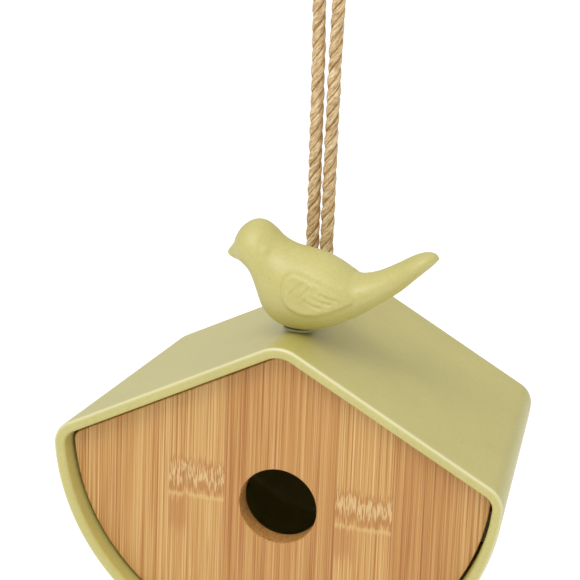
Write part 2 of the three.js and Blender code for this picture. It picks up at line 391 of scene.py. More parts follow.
def glaze_material(name, light, dark, gloss, grain_depth):
    """Satin pistachio glaze, a little uneven, with fine specks in it. A highlight is painted
    in along the rim's outer round, as a paler colour where the mesh's point attribute for it
    is high. gloss is the strength of its clear coat, and grain_depth how far its grain stands out, in
    metres."""
    glaze = Surface(name, IOR=1.7, Coat_Weight=gloss, Coat_Roughness=0.38)
    place = glaze.place()
    clouds = glaze.noise(place, scale=34, detail=3)
    grain = glaze.noise(place, scale=900, detail=2, roughness=0.6)
    specks = glaze.noise(place, scale=520, detail=1)
    tone = glaze.ramp(clouds, [(0.3, dark), (0.7, light)])
    fine = glaze.ramp(grain, [(0.3, (0.93, 0.92, 0.90)), (0.65, (1.0, 1.0, 1.0))])
    tone = glaze.mix(1.0, tone, fine, blend="MULTIPLY")
    speck_mask = glaze.between(specks, 0.72, 0.79, 0.0, 0.3)
    tone = glaze.mix(speck_mask, tone, (0.36, 0.28, 0.10))
    # Painted highlight: a paler colour along the rim's outer round, as strong as the mesh's attribute
    # says.
    rim_highlight_share, _, _ = glaze.parts(glaze.attribute("painted_rim_highlight"))
    glaze.colour(glaze.mix(glaze.math("MULTIPLY", rim_highlight_share, 0.7), tone, (0.78, 0.74, 0.46)))
    glaze.roughness(glaze.between(clouds, 0.3, 0.7, 0.50, 0.58))
    waves = glaze.bump(clouds, 0.0006, 0.5)
    glaze.bump(grain, grain_depth, 0.6, under=waves)
    return glaze.material


def jute_material():
    """Brown bast fibre. Its grain runs along the strands, which the mesh's attribute
    "lay" gives untwisted: across the rope in x and y, along it in z, in millimetres."""
    jute = Surface("jute_fibre", Roughness=0.9, Specular_IOR_Level=0.2)
    lay = jute.attribute("lay")
    fibres = jute.noise(jute.stretched(lay, (1.5, 1.5, 0.42)), detail=4, roughness=0.75)
    yarns = jute.noise(jute.stretched(lay, (0.8, 0.8, 0.2)), detail=2)
    patches = jute.noise(jute.stretched(lay, (0.5, 0.5, 0.12)), detail=2)
    tone = jute.ramp(
        fibres,
        [
            (0.34, (0.34, 0.185, 0.070)),
            (0.44, (0.62, 0.430, 0.215)),
            (0.55, (0.82, 0.655, 0.400)),
            (0.66, (0.95, 0.840, 0.600)),
        ],
    )
    yarn_tone = jute.ramp(yarns, [(0.38, (0.80, 0.71, 0.59)), (0.55, (1.0, 1.0, 1.0))])
    tone = jute.mix(0.7, tone, yarn_tone, blend="MULTIPLY")
    patch_tone = jute.ramp(patches, [(0.35, (0.86, 0.80, 0.72)), (0.65, (1.0, 1.0, 1.0))])
    tone = jute.mix(0.8, tone, patch_tone, blend="MULTIPLY")
    # Painted shade: the colour darkens in the grooves between the strands, by distance from the rope's
    # middle.
    x, y, _ = jute.parts(lay)
    squares = [jute.math("POWER", part, 2.0) for part in (x, y)]
    depth = jute.math("SQRT", jute.math("ADD", *squares))
    painted_groove_shade = jute.between(depth, GROOVE_RADIUS + 0.02, GROOVE_RADIUS + 0.22, 0.75, 0.0)
    jute.colour(jute.mix(painted_groove_shade, tone, (0.17, 0.085, 0.030)))
    deep = jute.bump(yarns, 0.0004, 0.7)
    jute.bump(fibres, 0.00035, 0.9, under=deep)
    return jute.material


# The board is glued up from strips this wide, the first of which starts left of it.
STRIP_WIDTH = 23.2
FIRST_STRIP_X = 0.6 - 5 * STRIP_WIDTH
STRIP_TONES = [1.0, 1.0, 1.0, 1.03, 0.92, 0.91, 1.03, 0.90, 0.98, 0.98]
BOARD_TONE = 0.94
# Where a stem's joint crosses a strip: strip, height above the entrance's centre.
STEM_JOINTS = [(3, 7.0), (6, 4.0)]


def bamboo_material():
    """Flat-pressed bamboo: upright strips with fine streaks and two stem joints."""
    bamboo = Surface("pressed_bamboo")
    x, y, z = bamboo.parts(bamboo.place())
    strips_per_metre = 1 / (STRIP_WIDTH * MM)
    strip_place = bamboo.math("MULTIPLY_ADD", x, strips_per_metre, -FIRST_STRIP_X / STRIP_WIDTH)
    strip = bamboo.math("FLOOR", strip_place)
    own_grain = bamboo.math("MULTIPLY", strip, 7.31)
    up = bamboo.math("SUBTRACT", z, float(HOUSE_PLACE[2]) * MM)

    def streaks(across, along, detail=2, roughness=0.5):
        vector = bamboo.stretched(bamboo.joined(x, y, up), (across, across, along))
        return bamboo.noise(vector, detail=detail, roughness=roughness, w=own_grain)

    fine = streaks(1500, 6, 3, 0.75)
    bundles = streaks(1150, 4)
    broad = streaks(520, 6)
    tone = bamboo.ramp(
        fine,
        [
            (0.36, (0.410, 0.160, 0.034)),
            (0.46, (0.560, 0.307, 0.090)),
            (0.55, (0.650, 0.402, 0.140)),
            (0.64, (0.735, 0.505, 0.212)),
        ],
    )
    tone_at = bamboo.ramp(broad, [(0.36, (0.90, 0.82, 0.72)), (0.52, (1.0, 1.0, 1.0))])
    tone = bamboo.mix(0.6, tone, tone_at, blend="MULTIPLY")
    near_bundle = bamboo.math("ABSOLUTE", bamboo.math("SUBTRACT", bundles, 0.5))
    bundle_line = bamboo.between(near_bundle, 0.006, 0.022, 0.62, 0.0)
    tone = bamboo.mix(bundle_line, tone, (0.400, 0.150, 0.035))

    count = len(STRIP_TONES)
    tones = [tone * BOARD_TONE for tone in STRIP_TONES]
    stops = [(i / count, (v, v * v, v**3)) for i, v in enumerate(tones)]
    stop = bamboo.math("MULTIPLY_ADD", strip, 1 / count, 0.5 / count)
    strip_tone = bamboo.ramp(stop, stops, "CONSTANT")
    tone = bamboo.mix(1.0, tone, strip_tone, blend="MULTIPLY")
    edge = bamboo.math("PINGPONG", strip_place, 0.5)
    glue_line = bamboo.between(edge, 0.004, 0.014, 0.4, 0.0)
    tone = bamboo.mix(glue_line, tone, (0.36, 0.15, 0.045))

    across_strip = bamboo.math("SUBTRACT", strip_place, strip)
    ticks = streaks(2300, 190, 2)
    ragged = bamboo.math("MULTIPLY_ADD", streaks(1300, 60), 0.016, -0.008)

    def band_mask(joint, bottom, low, top, high, strength, wander=1.0):
        """Where a ragged band crosses the joint's strip, from bottom..low to top..high."""
        number, height = joint
        here = bamboo.math("COMPARE", strip, float(number), 0.5)
        above_joint = bamboo.math("SUBTRACT", up, height * MM)
        level = bamboo.math("MULTIPLY_ADD", ragged, wander, above_joint)
        rise = bamboo.between(level, bottom * MM, low * MM)
        fall = bamboo.between(level, top * MM, high * MM, strength, 0.0)
        return bamboo.math("MULTIPLY", bamboo.math("MULTIPLY", rise, fall), here)

    relief = fine
    for joint in STEM_JOINTS:
        streaky = bamboo.between(ticks, 0.40, 0.60, 1.0, 0.45)
        shade = bamboo.math("MULTIPLY", band_mask(joint, -7.5, -5, 5, 9, 0.85), streaky)
        tone = bamboo.mix(shade, tone, (0.410, 0.165, 0.038))
        among = band_mask(joint, -3, -1, 3.5, 6, 1.0)
        tufts = bamboo.math("MULTIPLY", among, bamboo.between(ticks, 0.43, 0.53))
        tone = bamboo.mix(bamboo.math("MULTIPLY", tufts, 0.7), tone, (0.740, 0.530, 0.240))
        crease = band_mask(joint, -9.6, -8.1, -7.6, -6.4, 0.5, wander=0.15)
        tone = bamboo.mix(crease, tone, (0.690, 0.460, 0.185))
        beside = bamboo.between(across_strip, 0.26, 0.46, 1.0, 0.0)
        stain = bamboo.math("MULTIPLY", band_mask(joint, -27, -19, -10, -8.5, 0.6), beside)
        tone = bamboo.mix(stain, tone, (0.450, 0.190, 0.050))
        relief = bamboo.math("MULTIPLY_ADD", tufts, 0.6, relief)
    bamboo.colour(tone)
    bamboo.roughness(bamboo.between(fine, 0.3, 0.7, 0.60, 0.48))
    bamboo.bump(relief, 0.00010, 0.5)
    return bamboo.material


def steel_material():
    """Plated steel with fine turning marks."""
    steel = Surface("plated_steel", Metallic=1.0)
    place = steel.place()
    marks = steel.noise(steel.stretched(place, (300, 300, 6000)), detail=2)
    stains = steel.noise(place, scale=500, detail=3)
    steel.colour(steel.ramp(stains, [(0.3, (0.40, 0.40, 0.38)), (0.7, (0.55, 0.55, 0.53))]))
    steel.roughness(steel.between(marks, 0.3, 0.7, 0.28, 0.45))
    steel.bump(marks, 0.00002, 0.5)
    return steel.material


def rubber_material(name, dark, light, roughness):
    """Moulded rubber with a soft mottle."""
    rubber = Surface(name, Roughness=roughness)
    mottle = rubber.noise(rubber.place(), scale=700, detail=3)
    rubber.colour(rubber.ramp(mottle, [(0.3, dark), (0.7, light)]))
    rubber.bump(mottle, 0.00004, 0.5)
    return rubber.material


GLAZE = glaze_material(
    "pistachio_glaze",
    light=(0.54, 0.48, 0.14),
    dark=(0.50, 0.442, 0.122),
    gloss=0.5,
    grain_depth=0.00003,
)
# The bird's glaze is matt, and is painted a little paler and bluer than the shell's to stand in for
# the brighter light on its head and tail.
MATT_GLAZE = glaze_material(
    "matt_glaze",
    light=(0.56, 0.508, 0.168),
    dark=(0.515, 0.46, 0.142),
    gloss=0.12,
    grain_depth=0.00007,
)
JUTE = jute_material()
BAMBOO = bamboo_material()
STEEL = steel_material()
SILICONE = rubber_material("clear_silicone", (0.27, 0.27, 0.13), (0.36, 0.36, 0.18), 0.5)
PAD_RUBBER = rubber_material("pad_rubber", (0.05, 0.04, 0.025), (0.075, 0.06, 0.04), 0.7)


def finish_piece(piece, material, body, slot, *nodes):
    """Gives a piece its material and body, and hides the CAD nodes it stands for. slot is not used."""
    piece.data.materials.append(material)
    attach(piece, body)
    if nodes:
        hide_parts(*nodes)


def paint_node(node, material, bevel=0.15):
    """A CAD node that stays, with a better material and softened edges."""
    node.data.materials.clear()
    node.data.materials.append(material)
    modifier = node.modifiers.new("soft_edges", "BEVEL")
    modifier.width = bevel * MM
    modifier.segments = 3
    modifier.limit_method = "ANGLE"
    modifier.angle_limit = math.radians(35)


# ---- Rope ----

KNOT_Z = (
    tapered_z(RIDGE_Z, ROPE_Y)
    - ridge_top(ROPE_Y)
    - ROPE_RISE
    - (KNOT_RADIUS + KNOT_GAP) / math.cos(ROOF_ANGLE)
)
BESIDE_BIRD_Z = -ROPE_RISE + 52
ROPE_SIDE = [
    (3, KNOT_Z + KNOT_RADIUS + CLEARANCE),
    (3, -ROPE_RISE + 10),
    (2.95, -180),
    (3.05, -150),
    (3.25, -120),
    (3.55, -95),
    (4.1, -75),
    (5.6, -56),
    (8.2, -38),
    (11, -22),
    (12.1, -10),
    (10.6, -3),
    (6.2, 1.7),
]
ROPE_ROUTE = [
    (x, 0, z)
    for x, z in [*ROPE_SIDE, (0, ROPE_DIAMETER / 2), *((-x, z) for x, z in reversed(ROPE_SIDE))]
]


def twisted_rope(line, across, turns, seed, columns=54):
    """Rings of a three-strand rope along a line, and each point's place in the
    untwisted rope. across holds a direction at right angles to the line at each ring."""
    count = len(line)
    tangent = np.gradient(line, axis=0)
    tangent /= np.linalg.norm(tangent, axis=1)[:, None]
    side = np.cross(across, tangent)
    side /= np.linalg.norm(side, axis=1)[:, None]
    up = np.cross(tangent, side)
    along = np.linspace(0, 1, count)
    length = np.linalg.norm(np.diff(line, axis=0), axis=1).sum()
    angle = np.linspace(0, 2 * math.pi, columns, endpoint=False) + math.pi / 3
    third = 2 * math.pi / 3
    strand = np.round(angle / third).astype(int) % 3
    off_strand = (angle + third / 2) % third - third / 2
    sine = STRAND_OFFSET * np.sin(off_strand)
    radius = STRAND_OFFSET * np.cos(off_strand) + np.sqrt(STRAND_RADIUS**2 - sine**2)
    swell = np.stack([ripple(seed + k, count, 16) for k in range(3)], axis=1)[:, strand]
    rough = np.stack([ripple(seed + 10 + k, count, 3) for k in range(columns)], axis=1)
    radius = radius * (1 + 0.045 * swell + 0.022 * rough)
    turned = angle[None, :] + 2 * math.pi * turns * along[:, None]
    rings = (
        line[:, None, :]
        + (radius * np.cos(turned))[..., None] * side[:, None, :]
        + (radius * np.sin(turned))[..., None] * up[:, None, :]
    )
    lay = np.stack(
        [
            radius * np.cos(angle),
            radius * np.sin(angle),
            np.broadcast_to(along[:, None] * length, radius.shape),
        ],
        axis=-1,
    )
    return rings, lay


def with_lay(piece, lays):
    """The piece, with each point's place in the untwisted rope as the attribute "lay"."""
    values = piece.data.attributes.new("lay", "FLOAT_VECTOR", "POINT")
    values.data.foreach_set("vector", np.vstack(lays).astype(np.float32).ravel())
    return piece


def rope_mesh(name, rings, lay, looped=False):
    """The mesh of one or more lengths of rope, with the attribute "lay"."""
    points, faces, lays = [], [], []
    for ring_set, lay_set in zip(rings, lay):
        first = sum(len(p) for p in points)
        ends = None if looped else [ring_set[0].mean(axis=0), ring_set[-1].mean(axis=0)]
        new_points, new_faces = skin(ring_set, ends, looped, first)
        points.append(new_points)
        faces += new_faces
        lays.append(lay_set.reshape(-1, 3))
        if not looped:
            lays.append(np.array([lay_set[0].mean(axis=0), lay_set[-1].mean(axis=0)]))
    return with_lay(make_mesh(name, np.vstack(points), faces), lays)


def loose_fibres(line, count, seed):
    """Fine hairs that stand off the rope: slender three-sided tubes drawn to a point.
    Those as low as the bird lie down, clear of it however the house turns and nods."""
    random = np.random.default_rng(seed)
    tangent = np.gradient(line, axis=0)
    tangent /= np.linalg.norm(tangent, axis=1)[:, None]
    points, faces, lays = [], [], []
    segments = 5
    corner = np.linspace(0, 2 * math.pi, 3, endpoint=False)
    for _ in range(count):
        at = random.integers(8, len(line) - 8)
        along = tangent[at] * random.choice([-1, 1])
        turn = random.uniform(0, 2 * math.pi)
        side = np.cross(Y_AXIS, tangent[at])
        out = side * math.cos(turn) + Y_AXIS * math.sin(turn)
        around = np.cross(along, out)
        length = random.uniform(1.2, 3.8)
        lift = random.uniform(0.1, 0.85) * min(1, 1.7 / length)
        drift = random.normal(0, 0.35)
        curl = random.uniform(-0.2, 0.2) / length
        if line[at, 2] < BESIDE_BIRD_Z:
            lift, curl = lift * 0.3, 0
        root = line[at] + out * ROPE_DIAMETER * 0.40
        t = np.linspace(0, 1, segments)[:, None] * length
        hair = root + along * t + out * (lift * t + curl * t**2 / length) + around * drift * t
        thickness = random.uniform(0.045, 0.08) * np.linspace(1, 0.25, segments)
        ring = np.cos(corner)[:, None] * out + np.sin(corner)[:, None] * around
        rings = hair[:, None, :] + thickness[:, None, None] * ring[None]
        new_points, new_faces = skin(rings, [hair[0], hair[-1]], first=sum(map(len, points)))
        points.append(new_points)
        faces += new_faces
        lays.append(np.full((len(new_points), 3), random.uniform(0, 40)))
    return with_lay(make_mesh("rope_fibres", np.vstack(points), faces), lays)


def make_rope():
    line = spline(ROPE_ROUTE, 1100)
    length = np.linalg.norm(np.diff(line, axis=0), axis=1).sum()
    across = np.broadcast_to(Y_AXIS, line.shape)
    rings, lay = twisted_rope(line, across, length / ROPE_PITCH, seed=20)
    rope = rope_mesh("hanging_rope_jute", [rings], [lay])
    finish_piece(rope, JUTE, "hanging_rope", "jute", "rope")
    fibres = loose_fibres(line, 1500, seed=5)
    finish_piece(fibres, JUTE, "hanging_rope", "jute")


def make_knot():
    """A tight knot of the same rope, with the two strands that rise from it."""
    t = np.linspace(0, 2 * math.pi, 260, endpoint=False)
    size = (KNOT_RADIUS - ROPE_DIAMETER / 2 - 0.3) / 3
    line = size * np.stack(
        [
            np.sin(t) + 2 * np.sin(2 * t),
            np.cos(t) - 2 * np.cos(2 * t),
            -1.75 * np.sin(3 * t),
        ],
        axis=1,
    )
    line += Z_AXIS * KNOT_Z
    length = np.linalg.norm(np.diff(line, axis=0), axis=1).sum()
    turns = round(length / ROPE_PITCH)
    outward = line * (1, 1, 0)
    knot_rings, knot_lay = twisted_rope(line, np.cross(outward, Z_AXIS), turns, seed=60)
    knot = rope_mesh("rope_knot_jute", [knot_rings], [knot_lay], looped=True)
    finish_piece(knot, JUTE, "knot", "jute", "rope_knot")
    top = KNOT_Z + KNOT_RADIUS
    rings, lays = [], []
    for x in (-3, 3):
        strand = spline([(x * 0.9, 0, KNOT_Z), (x, 0, KNOT_Z + 5), (x, 0, top)], 30)
        across = np.broadcast_to(Y_AXIS, strand.shape)
        ring, lay = twisted_rope(strand, across, KNOT_RADIUS / ROPE_PITCH, seed=80 + x)
        rings.append(ring)
        lays.append(lay)
    stubs = rope_mesh("knot_strands", rings, lays)
    finish_piece(stubs, JUTE, "knot", "jute")


make_rope()
make_knot()


# ---- The house's outline ----


def arc(centre, radius, start, end, steps):
    """Angles along an arc, with its centre and radius, as rows."""
    angle = np.linspace(start, end, steps + 1)
    return [(*centre, radius, a) for a in angle]


def outline_columns():
    """The inside outline at the board's face, clockwise from the ridge, as rows of
    centre x, centre z, radius and angle. Straight stretches join the arcs, and hold
    rows of their own that slide along them."""
    to_roof = math.pi / 2 - ROOF_ANGLE
    normal = np.array([math.cos(to_roof), math.sin(to_roof)])
    down = np.array([normal[1], -normal[0]])
    ridge = np.array([0, RIDGE_Z - RIDGE_RADIUS / math.cos(ROOF_ANGLE)])
    bowl = np.array([0, BOWL_CENTRE_Z])
    reach = (RIDGE_Z - BOWL_CENTRE_Z) * normal[1] - EAVE_RADIUS
    along = math.sqrt((BOWL_RADIUS - EAVE_RADIUS) ** 2 - reach**2)
    eave = bowl + normal * reach + down * along
    to_bowl = math.atan2(eave[1] - bowl[1], eave[0] - bowl[0])
    rows = arc(ridge, RIDGE_RADIUS, math.pi / 2, to_roof, 10)
    for t in np.linspace(0, 1, 50)[1:-1]:
        centre = ridge * (1 - t) + eave * t
        radius = RIDGE_RADIUS * (1 - t) + EAVE_RADIUS * t
        rows.append((*centre, radius, to_roof))
    rows += arc(eave, EAVE_RADIUS, to_roof, to_bowl, 14)
    rows += arc(bowl, BOWL_RADIUS, to_bowl, -math.pi / 2, 84)[1:]
    right = np.array(rows)
    left = right[1:-1][::-1] * (-1, 1, 1, -1) + (0, 0, 0, math.pi)
    return np.vstack([right, left])


OUTLINE = outline_columns()


def outline(y, offset):
    """The closed outline at depth y, moved outwards by offset."""
    x, z, radius, angle = OUTLINE.T
    x = x + (radius + offset) * np.cos(angle)
    z = z + (radius + offset) * np.sin(angle)
    return np.stack([x * taper(y), np.full_like(x, y), tapered_z(z, y)], axis=1)


def pole(y):
    return np.array([0, y, tapered_z(BOWL_CENTRE_Z, y)])


# ---- Shell ----


def round_over(depth, offset, radius, start, end, steps):
    """Rows of depth and offset round a quarter or half circle of the shell's section."""
    angle = np.radians(np.linspace(start, end, steps + 1))
    return [(depth + radius * math.cos(a), offset + radius * math.sin(a)) for a in angle]


def shell_rings():
    """The shell's rings, its two poles, and how strongly each ring takes the rim's painted highlight.
    """
    floor_y = BACK_Y - BACK_WALL
    side_steps = 74
    back_round_y = BACK_Y - BACK_EDGE_RADIUS
    rim_round_y = RIM_Y + RIM_RADIUS
    floor_round_y = floor_y - WALL
    outer_round = WALL - RIM_RADIUS
    outside = np.linspace(back_round_y, rim_round_y, side_steps)[1:-1]
    inside = np.linspace(rim_round_y, floor_round_y, side_steps)[1:-1]
    section = [
        *round_over(back_round_y, WALL - BACK_EDGE_RADIUS, BACK_EDGE_RADIUS, 0, 90, 8),
        *((y, WALL) for y in outside),
        *round_over(rim_round_y, outer_round, RIM_RADIUS, 90, 180, 9),
        *((RIM_Y, offset) for offset in np.linspace(outer_round, RIM_RADIUS, 5)[1:-1]),
        *round_over(rim_round_y, RIM_RADIUS, RIM_RADIUS, 180, 270, 9),
        *((y, 0) for y in inside),
        *round_over(floor_round_y, -WALL, WALL, 90, 0, 6),
    ]
    rings = [outline(y, offset) for y, offset in section]
    shares = [0.15, 0.4, 0.65, 0.85]
    back = [pole(BACK_Y) * (1 - s) + rings[0] * s for s in shares]
    floor = [pole(floor_y) * (1 - s) + rings[-1] * s for s in reversed(shares)]
    y, offset = np.array(section).T
    # Painted highlight: a band over the rim's outer round, strongest at its angle from the front.
    on_round = np.abs(np.hypot(y - rim_round_y, offset - outer_round) - RIM_RADIUS) < 0.1
    angle = np.degrees(np.arctan2(offset - outer_round, rim_round_y - y))
    rim_highlight_share = np.exp(-(((angle - RIM_HIGHLIGHT_ANGLE) / RIM_HIGHLIGHT_SPREAD) ** 2)) * on_round
    rim_highlight_share = np.concatenate([np.zeros(len(shares)), rim_highlight_share, np.zeros(len(shares))])
    return [*back, *rings, *floor], [pole(BACK_Y), pole(floor_y)], rim_highlight_share


def near_hole(vertex, hole, reach):
    """Whether a vertex is within reach of a vertical hole's axis, at its heights."""
    x, y, _, low, high = hole
    place = vertex.co
    at_height = low * MM < place.z < high * MM
    return at_height and math.hypot(place.x - x * MM, place.y - y * MM) < reach * MM


def soften_holes(mesh, holes):
    """Refines a mesh round each vertical hole and lets the glaze run over its edge.
    A hole is x, y, radius, and the two heights that it is cut between."""
    lip = 1.1
    work = bmesh.new()
    work.from_mesh(mesh)
    for hole in holes:
        x, y, radius, _, _ = hole
        for reach in (radius + 4, radius + 2.5):
            edges = [e for e in work.edges if all(near_hole(v, hole, reach) for v in e.verts)]
            bmesh.ops.subdivide_edges(work, edges=edges, cuts=1, use_grid_fill=True)
        work.normal_update()
        moves = []
        for vertex in work.verts:
            if near_hole(vertex, hole, radius + lip):
                distance = math.hypot(vertex.co.x / MM - x, vertex.co.y / MM - y)
                inward = min(1, (radius + lip - distance) / lip)
                drop = lip * (1 - math.sqrt(max(0, 1 - inward**2)))
                moves.append((vertex, vertex.normal * -drop * MM))
        for vertex, move in moves:
            vertex.co += move
    bmesh.ops.recalc_face_normals(work, faces=work.faces)
    work.to_mesh(mesh)
    work.free()


def cut(piece, cutters, operation="DIFFERENCE"):
    """Applies booleans with the cutters, which are then removed."""
    for cutter in cutters:
        modifier = piece.modifiers.new("cut", "BOOLEAN")
        modifier.object = cutter
        modifier.operation = operation
        modifier.solver = "EXACT"
    graph = bpy.context.evaluated_depsgraph_get()
    mesh = bpy.data.meshes.new_from_object(piece.evaluated_get(graph))
    piece.modifiers.clear()
    piece.data = mesh
    for cutter in cutters:
        bpy.data.objects.remove(cutter)


def post(radius, bottom, top, x, y, sides=64):
    rings = lathe([(radius, bottom), (radius, top)], sides) + (x, y, 0)
    points, faces = skin(rings, [(x, y, bottom), (x, y, top)])
    return make_mesh("post", points, faces)


def lug(degrees):
    """A lug on the bowl's wall that stops the board, with soft edges."""
    y = BOARD_THICKNESS + CLEARANCE + LUG["depth"] / 2
    tall = LUG["height"] + WALL / 2
    centre_x = BOWL_RADIUS * taper(y) - LUG["height"] + tall / 2
    mesh = bpy.data.meshes.new("lug")
    work = bmesh.new()
    bmesh.ops.create_cube(work, size=1)
    bmesh.ops.scale(work, vec=Vector((tall, LUG["depth"], LUG["width"])) * MM, verts=work.verts)
    bmesh.ops.bevel(work, geom=work.edges[:], offset=1.2 * MM, segments=4, profile=0.5, affect="EDGES")
    bmesh.ops.translate(work, vec=(centre_x * MM, 0, 0), verts=work.verts)
    turn = Matrix.Rotation(-math.radians(degrees), 4, "Y")
    centre = on_house([0, y, tapered_z(BOWL_CENTRE_Z, y)]) * MM
    work.transform(Matrix.Translation(Vector(centre)) @ turn)
    work.to_mesh(mesh)
    work.free()
    return make_object("lug", mesh)


def make_shell():
    rings, poles, rim_highlight_share = shell_rings()
    points, faces = skin(rings, poles)
    shell = make_mesh("house_shell", on_house(points), faces)
    # Each point takes its ring's share of the painted rim highlight.
    on_points = np.zeros(len(points), dtype=np.float32)
    on_points[: rim_highlight_share.size * len(rings[0])] = np.repeat(rim_highlight_share, len(rings[0]))
    shell.data.attributes.new("painted_rim_highlight", "FLOAT", "POINT").data.foreach_set("value", on_points)
    roof_low, roof_high = -ROPE_RISE - 20, -ROPE_RISE + 10
    floor_low = float(HOUSE_PLACE[2]) - BOWL_RADIUS - 10
    floor_high = floor_low + 50
    holes = [
        (0, 0, ROPE_HOLE_RADIUS, roof_low, roof_high),
        (0, BIRD_Y - ROPE_Y, STUD_HOLE_RADIUS, roof_low, roof_high),
    ]
    for x in (-DRAIN_SPACING["x"] / 2, DRAIN_SPACING["x"] / 2):
        for y in (-DRAIN_SPACING["y"] / 2, DRAIN_SPACING["y"] / 2):
            holes.append((x, DRAIN_CENTRE_Y + y - ROPE_Y, DRAIN_RADIUS, floor_low, floor_high))
    soften_holes(shell.data, holes)
    cut(shell, [lug(degrees) for degrees in SEAT_ANGLES], "UNION")
    cut(shell, [post(radius, low, high, x, y) for x, y, radius, low, high in holes])
    shell.data.shade_smooth()
    shell.data.set_sharp_from_angle(angle=math.radians(42))
    shell.data.materials.clear()
    finish_piece(shell, GLAZE, "house", "glaze", "shell")


make_shell()


# ---- Front board ----


def make_board():
    """The board is a ring round the entrance: its section runs over the front, the
    outer edge, the back and the entrance's wall."""
    angle = np.arctan2(outline(0, 0)[:, 2], outline(0, 0)[:, 0])
    circle = np.stack([np.cos(angle), 0 * angle, np.sin(angle)], axis=1)
    edge = BOARD_EDGE_RADIUS
    back = BOARD_THICKNESS

    def at_hole(y, widening):
        return circle * (ENTRANCE_RADIUS + widening) + Y_AXIS * y

    def at_rim(y, inset):
        return outline(y, -BOARD_GAP - inset)

    def face(y, steps):
        inner, outer = at_hole(y, edge), at_rim(y, edge)
        shares = smoothed(np.linspace(0, 1, steps + 1), 1)[1:-1]
        return [inner * (1 - s) + outer * s for s in shares]

    bend = np.radians(np.linspace(0, 90, 6))
    curve = [(edge * (1 - math.sin(a)), edge * (1 - math.cos(a))) for a in bend]
    rings = [
        *(at_hole(y, widening) for widening, y in reversed(curve)),
        *face(0, 26),
        *(at_rim(y, widening) for widening, y in curve),
        *(at_rim(back - y, widening) for widening, y in reversed(curve)),
        *reversed(face(back, 26)),
        *(at_hole(back - y, widening) for widening, y in curve),
    ]
    points, faces = skin(rings, looped=True)
    board = make_mesh("bamboo_board", on_house(points), faces, sharp_angle=50)
    finish_piece(board, BAMBOO, "board", "bamboo", "front_panel")
    for i in range(len(SEAT_ANGLES)):
        paint_node(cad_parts[f"panel_pad_{i + 1}"], PAD_RUBBER)


make_board()


# ---- Bird ----

# Pairs of places on the bird's back and belly that one section joins, from beak to
# tail, with half its width: back x, back z, belly x, belly z, half width.
BIRD_SECTIONS = [
    (-31.4, 27.9, -31.2, 27.2, 0.4),
    (-30.9, 29.0, -30.2, 26.3, 1.3),
    (-29.8, 30.7, -28.4, 25.6, 2.3),
    (-28.7, 32.6, -26.6, 25.2, 3.9),
    (-27.7, 35.8, -24.6, 24.8, 7.4),
    (-25.3, 39.7, -22.2, 23.6, 10.9),
    (-21.2, 42.4, -19.8, 21.0, 12.4),
    (-17.0, 42.4, -18.0, 17.0, 12.9),
    (-13.0, 40.2, -16.4, 12.2, 13.0),
    (-9.4, 37.2, -14.4, 7.6, 13.6),
    (-4.2, 34.8, -10.4, 3.6, 15.0),
    (1.8, 33.8, -4.4, 1.2, 16.4),
    (7.8, 32.8, 3.6, 0.9, 16.8),
    (14.0, 30.4, 12.0, 3.0, 16.0),
    (19.0, 27.7, 20.0, 6.8, 13.8),
    (22.6, 26.2, 26.4, 10.8, 11.2),
    (29.4, 27.9, 33.2, 15.8, 8.8),
    (37.4, 32.2, 40.4, 21.6, 7.6),
    (44.8, 36.8, 46.8, 28.0, 7.2),
    (49.6, 38.5, 51.2, 32.4, 6.0),
    (52.8, 38.3, 53.4, 34.8, 3.4),
    (54.5, 37.0, 54.6, 36.4, 0.5),
]
WING_OUTLINE = [
    (-1.6, 13.4),
    (-3.6, 17.0),
    (-4.4, 21.0),
    (-3.5, 25.0),
    (-0.9, 27.2),
    (3.0, 27.0),
    (8.6, 25.2),
    (14.8, 23.1),
    (20.0, 20.6),
    (24.2, 17.6),
    (19.2, 14.4),
    (14.0, 12.0),
    (8.4, 10.6),
    (3.2, 11.0),
]
FEATHERS = [  # grooves on the wing, each a curve, with its depth
    ([(0.2, 19.2), (2.1, 21.5), (4.2, 23.7)], 0.5),
    ([(3.4, 17.6), (5.4, 19.8), (7.4, 22.2)], 0.5),
    ([(5.6, 17.4), (8.4, 15.6), (12.2, 14.8)], 0.5),
    ([(8.8, 18.8), (11.6, 17.4), (15.8, 16.6)], 0.5),
    ([(12.2, 20.0), (15.2, 18.8), (18.0, 18.3)], 0.4),
]
EYE = (-13.0, 33.6)


def distance_to(curve, x, z):
    """How far each of many places is from a fine row of places on a curve."""
    nearest = np.full(x.shape, np.inf)
    for a, b in curve:
        nearest = np.minimum(nearest, np.hypot(x - a, z - b))
    return nearest


def inside_outline(loop, x, z):
    """Which places are inside a closed row of corners."""
    inside = np.zeros(x.shape, bool)
    for (ax, az), (bx, bz) in zip(loop, np.roll(loop, -1, axis=0)):
        crosses = (az > z) != (bz > z)
        with np.errstate(divide="ignore", invalid="ignore"):
            meets = ax + (z - az) * (bx - ax) / (bz - az)
        inside ^= crosses & (x < meets)
    return inside


def bird_relief(x, z):
    """How far the bird's sides stand out at each place of its side view."""
    loop = spline([*WING_OUTLINE, WING_OUTLINE[0]], 120)[:-1]
    away = distance_to(loop, x, z)
    depth = np.where(inside_outline(loop, x, z), away, -away)
    relief = 1.15 * smoothstep(-0.8, 1.2, depth) - 0.7 * smoothstep(1.2, 4.5, depth)
    for places, height in FEATHERS:
        near = distance_to(spline(places, 40), x, z)
        relief += height * (0.5 * smoothstep(2.0, 1.1, near) - smoothstep(1.1, 0.2, near))
    eye = np.hypot(x - EYE[0], z - EYE[1])
    relief += 0.3 * smoothstep(2.4, 0.4, eye)
    return relief


